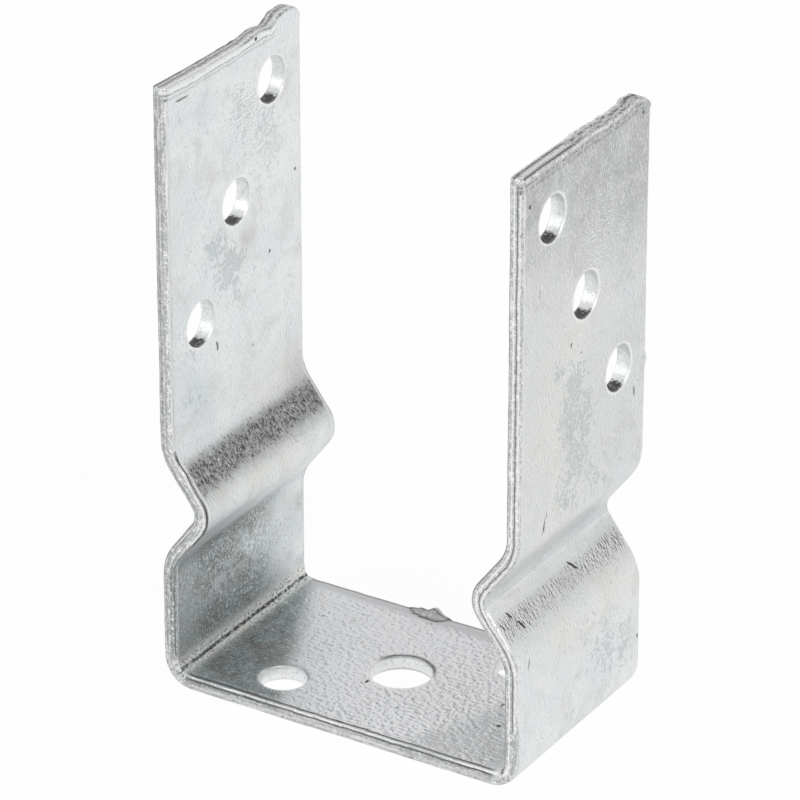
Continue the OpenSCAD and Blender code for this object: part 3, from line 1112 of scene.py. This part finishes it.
class Coat:
    """The zinc's colour so far, and what its layers share: the masks, the sheet, a ragged noise, the edges
    and the ends as one mask, the grain group, and the group of flecks with painted light and shade."""

    def __init__(self, graph, finish):
        self.graph, self.finish = graph, finish
        self.mask = {}
        for key, names in MASK_SETS.items():
            self.mask.update(zip(names, graph.parts(graph.attribute(key))))
        self.sheet = graph.attribute("sheet")
        self.grains, self.flecks = grain_group(), shaded_fleck_group()
        self.ragged = graph.noise(self.sheet, 3.0, 4.0, 0.7)
        self.edge = graph.math("MAXIMUM", self.mask["edge"], self.mask["end"])
        self.colour = None

    def tint(self, share, colour, strength=None):
        """Mixes a colour in by a share, or by the mask of that name, times a strength."""
        if isinstance(share, str):
            share = self.mask[share]
        if strength is not None:
            share = self.graph.times(share, strength)
        self.colour = self.graph.mix(share, self.colour, colour)

    def lay(self, tree, place, share, dark, strengths, settings):
        """Lays the dark and the bright part of a group over the colour, each with its strength, and returns
        the group's height."""
        layer = self.graph.group(tree, {"Place": place, "Share": share, **settings})
        for key, colour, strength in zip(("Dark", "Bright"), (dark, WHITE), strengths):
            self.tint(layer[key], colour, strength)
        return layer["Height"]

    def grain(self, place, share, dark, levels, strengths):
        """Lays grain that is cut off at a dark and a bright level."""
        settings = {"Dark Level": levels[0], "Bright Level": levels[1]}
        return self.lay(self.grains, place, share, dark, strengths, settings)

    def shaded_fleck(self, place, share, dark, strengths, **settings):
        """Lays flecks with a painted shaded side and a painted highlight side."""
        return self.lay(self.flecks, place, share, dark, strengths, settings)


def cloudy_zinc(coat):
    """Slow clouds, the greyer coat up the outside, dull blotches, the base's own tone, the edges, the stains
    and the bands of painted shade. Returns the clouds' value."""
    graph, finish = coat.graph, coat.finish
    clouds = graph.group(clouds_group(), {"Place": coat.sheet, "Pale": finish.pale, "Cool": finish.cool,
                                          "Warm": finish.warm})
    coat.colour = clouds["Color"]
    blotches = graph.noise(coat.sheet, 9.0, 4.0, 0.6, 0.6)
    outer_grey = graph.math("MULTIPLY_ADD", blotches, 1.0, 0.5)
    coat.tint(graph.times(coat.mask["outer_grey"], outer_grey, clamp=True), finish.outer_grey_tone)
    coat.tint(graph.step(blotches, 0.5, 0.68, 0.0, 0.22), finish.dull)
    coat.tint("on_base", finish.base, 0.7)
    coat.tint(coat.edge, finish.edge, 0.92)
    for name, strength, colour in STAIN_TONES:
        spread = graph.step(blotches, 0.3, 0.55, 0.5 * strength, strength)
        coat.tint(graph.times(coat.mask[name], spread), colour)
    # Even bands of painted shade
    for name, strength, colour in PAINTED_SHADE_TONES:
        coat.tint(name, colour, strength)
    return clouds["Cloud"]


def painted_corner_shade(coat):
    """Painted shade in the inside corners, bluish or brownish. Returns its share and the noise that frays it.
    """
    graph, shade = coat.graph, coat.mask["shade"]
    wander = graph.math("MULTIPLY_ADD", graph.noise(coat.sheet, 3.0, 4.0, 0.65), 0.9, -0.45)
    share = graph.times(graph.math("MULTIPLY_ADD", wander, shade, shade), 0.96, clamp=True)
    brown_share = graph.step(graph.noise(coat.sheet, 7.0, 4.0, 0.65, 0.5), 0.42, 0.58)
    coat.tint(share, graph.mix(brown_share, coat.finish.bloom, BROWN_SHADE))
    return share, wander


def dull_swirls(coat):
    """Swirls with a dull body and duller veins round it, where a noise passes a limit that falls in the
    swirl mask."""
    graph, swirl, dull = coat.graph, coat.mask["swirl"], coat.finish.dull
    veins = graph.noise(coat.sheet, 2.6, 4.0, 0.55, 1.6)
    inside = graph.math("SUBTRACT", veins, graph.math("MULTIPLY_ADD", swirl, -0.25, 0.66))
    body = graph.step(inside, -0.05, 0.05)
    coat.tint(body, dull, 0.55)
    vein = graph.step(graph.math("ABSOLUTE", inside), 0.03, 0.005)
    coat.tint(graph.times(vein, graph.step(swirl, 0.1, 0.5)), dull, 0.75)
    coat.grain(coat.sheet, graph.times(body, 0.8), dull, (0.46, 0.60), (0.5, 0.4))


def speckle(coat):
    """Fine speckle and short dashes all over but the base, and leaf-shaped flecks where the coat is
    scuffed. The dashes and the leaves get a painted shaded side and a painted highlight side. Returns the
    speckle's height."""
    graph, dull = coat.graph, coat.finish.dull
    plain = graph.math("SUBTRACT", 1.0, coat.mask["on_base"])
    share = graph.times(plain, graph.step(coat.ragged, 0.35, 0.65, 0.62, 1.0))
    height = coat.grain(coat.sheet, share, dull, (0.45, 0.56), (0.62, 0.85))
    dashes = graph.stretch(coat.sheet, (0.8, 2.4, 1.0))
    coat.shaded_fleck(dashes, share, dull, (0.62, 0.85), Level=0.02)
    leaves = graph.stretch(coat.sheet, (1.7, 0.55, 1.0), -14.0)
    coat.shaded_fleck(leaves, coat.mask["scuffed"], dull, (0.5, 0.65), Level=0.01, Shift=(0.35, 0.0, 0.0))
    return height


def band_grain_and_reflection(coat, wander):
    """The dark, long grain of the coat pulled thin over the kinks, laid on a painted dark reflection that
    darkens the whole band. Returns its share and height.
    """
    graph, stretch_and_reflection = coat.graph, coat.mask["stretch_and_reflection"]
    share = graph.math("ADD", stretch_and_reflection, graph.times(stretch_and_reflection, wander), clamp=True)
    coat.tint(graph.step(share, 0.05, 1.0), BAND_DARK_REFLECTION, 0.78)
    strands = graph.stretch(coat.sheet, (0.62, 1.0, 1.0))
    return share, coat.grain(strands, share, coat.finish.dark, (0.52, 0.57), (0.85, 0.8))


def corner_shade_grain(coat, share):
    """Salt and pepper on the painted corner shade, and the pale crystals that lie over it."""
    graph = coat.graph
    coat.grain(coat.sheet, graph.times(share, 1.1, clamp=True), SHADE_GRAIN, (0.49, 0.555), (0.7, 0.72))
    broken = graph.step(graph.noise(coat.sheet, 3.2, 5.0, 0.75), 0.45, 0.53)
    frost = graph.times(coat.mask["frost"], broken, clamp=True)
    coat.tint(frost, CRYSTALS, 0.72)
    coat.grain(coat.sheet, frost, CRYSTAL_GRAIN, (0.505, 0.535), (0.7, 0.9))


def streaks(coat):
    """Dark strokes across the bar below the kinks outside, each with a painted shaded side and a painted
    highlight side.
    """
    graph = coat.graph
    strokes = graph.stretch(coat.sheet, (0.65, 1.3, 1.0))
    share = graph.times(coat.mask["streaked"], graph.step(coat.ragged, 0.36, 0.6, 0.55, 1.0))
    coat.tint(share, STREAKED, 0.45)
    coat.shaded_fleck(strokes, share, coat.finish.dark, (0.95, 0.7), Level=0.0)


def fold_shadow_and_rims(coat):
    """The bright speckled rims inside the base bends and the painted shadow of the tight crease between them.
    Returns the rims' share and the noise that breaks that shadow into dots."""
    graph, dark = coat.graph, coat.finish.dark
    rims = graph.times(coat.mask["crease_rim"], graph.step(coat.ragged, 0.3, 0.5, 0.7, 1.0))
    coat.tint(rims, FOLD_RIM, 0.85)
    coat.grain(coat.sheet, rims, dark, (0.49, 0.53), (0.85, 1.0))
    pinch = graph.noise(coat.sheet, 1.1, 3.0, 0.7)
    crease_shadow = graph.times(coat.mask["crease"], graph.math("MULTIPLY_ADD", pinch, 2.2, -0.25))
    coat.tint(graph.step(crease_shadow, 0.42, 0.75), CREASE_SHADOW, 0.95)
    return rims, pinch


def base_peel(coat):
    """The orange peel on top of the base, its ripples given a painted soft shade and highlight. Returns its
    height.
    """
    place = coat.graph.stretch(coat.sheet, (0.62, 0.8, 1.0))
    return coat.shaded_fleck(place, coat.mask["peel"], PEEL_SHADE, (0.72, 1.0), Level=-0.1, Soft=0.26,
                      Shift=(0.22, 0.3, 0.0))


def worn_edges(coat):
    """Grain and long faint lines on the rolled edges and the ends."""
    graph = coat.graph
    coat.grain(coat.sheet, coat.edge, EDGE_GRAIN, (0.47, 0.545), (0.6, 0.65))
    rolled = graph.noise(graph.stretch(coat.sheet, (0.07, 1.4, 1.4)), 1.0, 3.0, 0.6)
    lines = graph.step(rolled, 0.46, 0.36), graph.step(rolled, 0.55, 0.64)
    for line, colour in zip(lines, (coat.finish.dull, WHITE)):
        coat.tint(graph.times(line, graph.times(coat.edge, 0.5)), colour)


def punched_holes(coat, pinch):
    """Pale grainy hole walls, the painted shade at the bottom, the pale rim and the dark lip."""
    graph, finish, mask = coat.graph, coat.finish, coat.mask
    coat.tint("wall", finish.pale, 0.6)
    coat.grain(coat.sheet, graph.times(mask["wall"], 0.95), finish.dull, (0.47, 0.55), (0.6, 0.7))
    hole_shade = graph.math("ADD", mask["hole_shade"], graph.math("MULTIPLY_ADD", pinch, 1.8, -0.9))
    coat.tint(graph.step(hole_shade, 0.42, 0.85), HOLE_SHADE, 0.95)
    coat.tint("rim", WHITE, 0.7)
    coat.tint(graph.times(mask["lip"], graph.step(pinch, 0.3, 0.5, 0.65, 1.0)), finish.dark, 0.95)


def grey_drip(coat):
    """The drip's own grey, its grain and its dark rim."""
    graph, drip, dark = coat.graph, coat.mask["drip"], coat.finish.dark
    share = graph.step(drip, 0.15, 0.5)
    coat.tint(share, DRIP, 0.35)
    coat.grain(coat.sheet, share, dark, (0.47, 0.56), (0.6, 0.8))
    rim = graph.step(graph.math("ABSOLUTE", graph.math("SUBTRACT", drip, 0.3)), 0.28, 0.05)
    coat.tint(rim, dark, 0.75)


def zinc_material(finish, bar):
    """Hot-dip zinc: the layers of its colour, then its fine relief and its shine."""
    material, graph = new_material("hot_dip_zinc")
    coat = Coat(graph, finish)
    cloud = cloudy_zinc(coat)
    bloom, wander = painted_corner_shade(coat)
    dull_swirls(coat)
    fine = speckle(coat)
    band, coarse = band_grain_and_reflection(coat, wander)
    corner_shade_grain(coat, bloom)
    streaks(coat)
    rims, pinch = fold_shadow_and_rims(coat)
    ripples = base_peel(coat)
    worn_edges(coat)
    punched_holes(coat, pinch)
    grey_drip(coat)
    # Painted highlight and shade lines along the edges and the ends
    tone, cover = thin_lines(graph, bar, coat.sheet, coat.mask["end"])
    coat.tint(cover, tone)
    coat.tint(old_marks(graph, coat.sheet), finish.dark)

    height = graph.times(graph.noise(coat.sheet, 2.6, 3.0, 0.6), 0.06)
    for layer, share, depth in ((fine, 1.0, 0.03), (coarse, band, 0.14), (ripples, coat.mask["peel"], 0.2),
                                (fine, coat.edge, 0.07), (fine, rims, 0.08)):
        height = graph.math("ADD", height, graph.times(layer, graph.times(share, depth)))
    bump = graph.node("ShaderNodeBump")
    bump.inputs["Distance"].default_value = MM
    bump.inputs["Strength"].default_value = 1.0
    graph.feed(bump.inputs["Height"], height)

    shader = graph.node("ShaderNodeBsdfPrincipled")
    shader.inputs["Metallic"].default_value = finish.metallic
    rough = graph.math("MULTIPLY_ADD", cloud, 0.16, finish.roughness - 0.08)
    rough = graph.math("MULTIPLY_ADD", band, 0.15, rough)
    for key, value in (("Base Color", coat.colour), ("Roughness", rough), ("Normal", bump.outputs[0])):
        graph.feed(shader.inputs[key], value)
    output = graph.node("ShaderNodeOutputMaterial")
    graph.feed(output.inputs["Surface"], shader.outputs[0])
    return material


class OBJECT_OT_galvanised_bracket(bpy.types.Operator):
    """Make the folded bar with its punched holes and its zinc coat"""
    bl_idname = "object.galvanised_bracket"
    bl_label = "Galvanised Bracket"

    def execute(self, context):
        shape = context.scene.bracket_shape
        bar = Bar(shape)
        sheet, normals, quads = bracket_skin(bar, shape)
        relief = zinc_relief(bar, sheet)
        laid = sheet + normals * relief[:, None]
        laid[:, 0] += end_shift(bar, sheet)
        points = bar.to_space(laid) * MM
        carried = {"sheet": sheet, **masks(bar, shape, sheet)}
        piece = make_piece("galvanised_bracket", points, quads, carried)
        piece.data.materials.append(zinc_material(context.scene.zinc_finish, bar))
        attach(piece, "root")
        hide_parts("u_bracket")
        return {"FINISHED"}


def shown_white(graph):
    """One where a ray from the camera, a reflection or a refraction looks, and zero for light itself."""
    path = graph.node("ShaderNodeLightPath")
    seen = graph.math("MAXIMUM", path.outputs["Is Camera Ray"], path.outputs["Is Glossy Ray"])
    return graph.math("MAXIMUM", seen, path.outputs["Is Transmission Ray"])


# The floor: half its width in metres, its colour and how much of it is plain white
FLOOR_HALF = 20.0
FLOOR_COLOUR = (0.95, 0.95, 0.95)
FLOOR_WHITE = 0.965
# The soft lamps: place and side length, in metres
LAMPS = {"key": ((1.3, -0.7, 1.3), 0.9), "fill": ((-1.0, -1.3, 1.1), 1.2)}


def white_floor():
    """A wide white floor that shows as white and keeps part of the soft shadow."""
    material, graph = new_material("white_floor")
    plain = graph.node("ShaderNodeBsdfDiffuse")
    graph.feed(plain.inputs["Color"], FLOOR_COLOUR)
    white = graph.node("ShaderNodeEmission")
    share = graph.times(shown_white(graph), FLOOR_WHITE)
    both = graph.node("ShaderNodeMixShader")
    for socket, value in zip(both.inputs, (share, plain.outputs[0], white.outputs[0])):
        graph.feed(socket, value)
    output = graph.node("ShaderNodeOutputMaterial")
    graph.feed(output.inputs["Surface"], both.outputs[0])
    mesh = bpy.data.meshes.new("floor")
    corners = [(x * FLOOR_HALF, y * FLOOR_HALF, 0.0) for x, y in ((-1, -1), (1, -1), (1, 1), (-1, 1))]
    mesh.from_pydata(corners, [], [(0, 1, 2, 3)])
    mesh.materials.append(material)
    floor = bpy.data.objects.new("floor", mesh)
    bpy.context.scene.collection.objects.link(floor)


def white_world(strength):
    """Even light from all round at the given strength, which shows as white behind the object."""
    world = bpy.data.worlds.new("white_world")
    bpy.context.scene.world = world
    world.use_nodes = True
    world.node_tree.nodes.clear()
    graph = Graph(world.node_tree)
    back = graph.node("ShaderNodeBackground")
    level = graph.math("MULTIPLY_ADD", shown_white(graph), 1.0 - strength, strength)
    graph.feed(back.inputs["Strength"], level)
    output = graph.node("ShaderNodeOutputWorld")
    graph.feed(output.inputs["Surface"], back.outputs[0])


def soft_lamp(name, place, size, power, aim):
    """A square area lamp that points at the bracket."""
    lamp = bpy.data.lights.new(name, "AREA")
    lamp.shape = "SQUARE"
    lamp.size = size
    lamp.energy = power
    holder = bpy.data.objects.new(name, lamp)
    holder.location = place
    holder.rotation_euler = (Vector(aim) - Vector(place)).to_track_quat("-Z", "Y").to_euler()
    bpy.context.scene.collection.objects.link(holder)


class SCENE_OT_white_stage(bpy.types.Operator):
    """Make the white floor, the soft light and the camera"""
    bl_idname = "scene.white_stage"
    bl_label = "White Stage"

    def execute(self, context):
        setup = context.scene.stage_setup
        white_floor()
        white_world(setup.sky_strength)
        aim = Vector(setup.camera_aim)
        for name, (place, size) in LAMPS.items():
            soft_lamp(name, place, size, getattr(setup, name + "_power"), aim)
        azimuth, elevation = setup.camera_azimuth, setup.camera_elevation
        back = Vector((math.sin(azimuth) * math.cos(elevation),
                       -math.cos(azimuth) * math.cos(elevation), math.sin(elevation)))
        lens = bpy.data.cameras.new("camera")
        lens.sensor_width = 36.0
        lens.lens = setup.lens
        camera = bpy.data.objects.new("camera", lens)
        camera.location = aim + back * setup.camera_distance
        camera.rotation_euler = back.to_track_quat("Z", "Y").to_euler()
        context.scene.collection.objects.link(camera)
        context.scene.camera = camera
        context.scene.view_settings.view_transform = "Standard"
        return {"FINISHED"}


class VIEW3D_PT_bracket(bpy.types.Panel):
    """Lists what can be made"""
    bl_idname = "VIEW3D_PT_bracket"
    bl_label = "U Bracket"
    bl_space_type = "VIEW_3D"
    bl_region_type = "UI"
    bl_category = "Bracket"

    def draw(self, context):
        layout = self.layout
        for setting in SETTINGS:
            group = getattr(context.scene, setting)
            column = layout.column()
            for key in group.__annotations__:
                column.prop(group, key)
        layout.operator(OBJECT_OT_galvanised_bracket.bl_idname)
        layout.operator(SCENE_OT_white_stage.bl_idname)


# The settings that hang on the scene, and everything that is registered
SETTINGS = {"bracket_shape": BracketShape, "zinc_finish": ZincFinish, "stage_setup": StageSetup}
CLASSES = (*SETTINGS.values(), OBJECT_OT_galvanised_bracket, SCENE_OT_white_stage, VIEW3D_PT_bracket)


def register():
    """Registers the classes and hangs the settings on the scene."""
    for item in CLASSES:
        bpy.utils.register_class(item)
    for key, group in SETTINGS.items():
        setattr(bpy.types.Scene, key, PointerProperty(type=group))


def unregister():
    """Takes the settings and the classes away again."""
    for key in SETTINGS:
        delattr(bpy.types.Scene, key)
    for item in reversed(CLASSES):
        bpy.utils.unregister_class(item)


def main():
    """Makes everything in order."""
    register()
    bpy.ops.object.galvanised_bracket()
    bpy.ops.scene.white_stage()


if __name__ == "__main__":
    main()
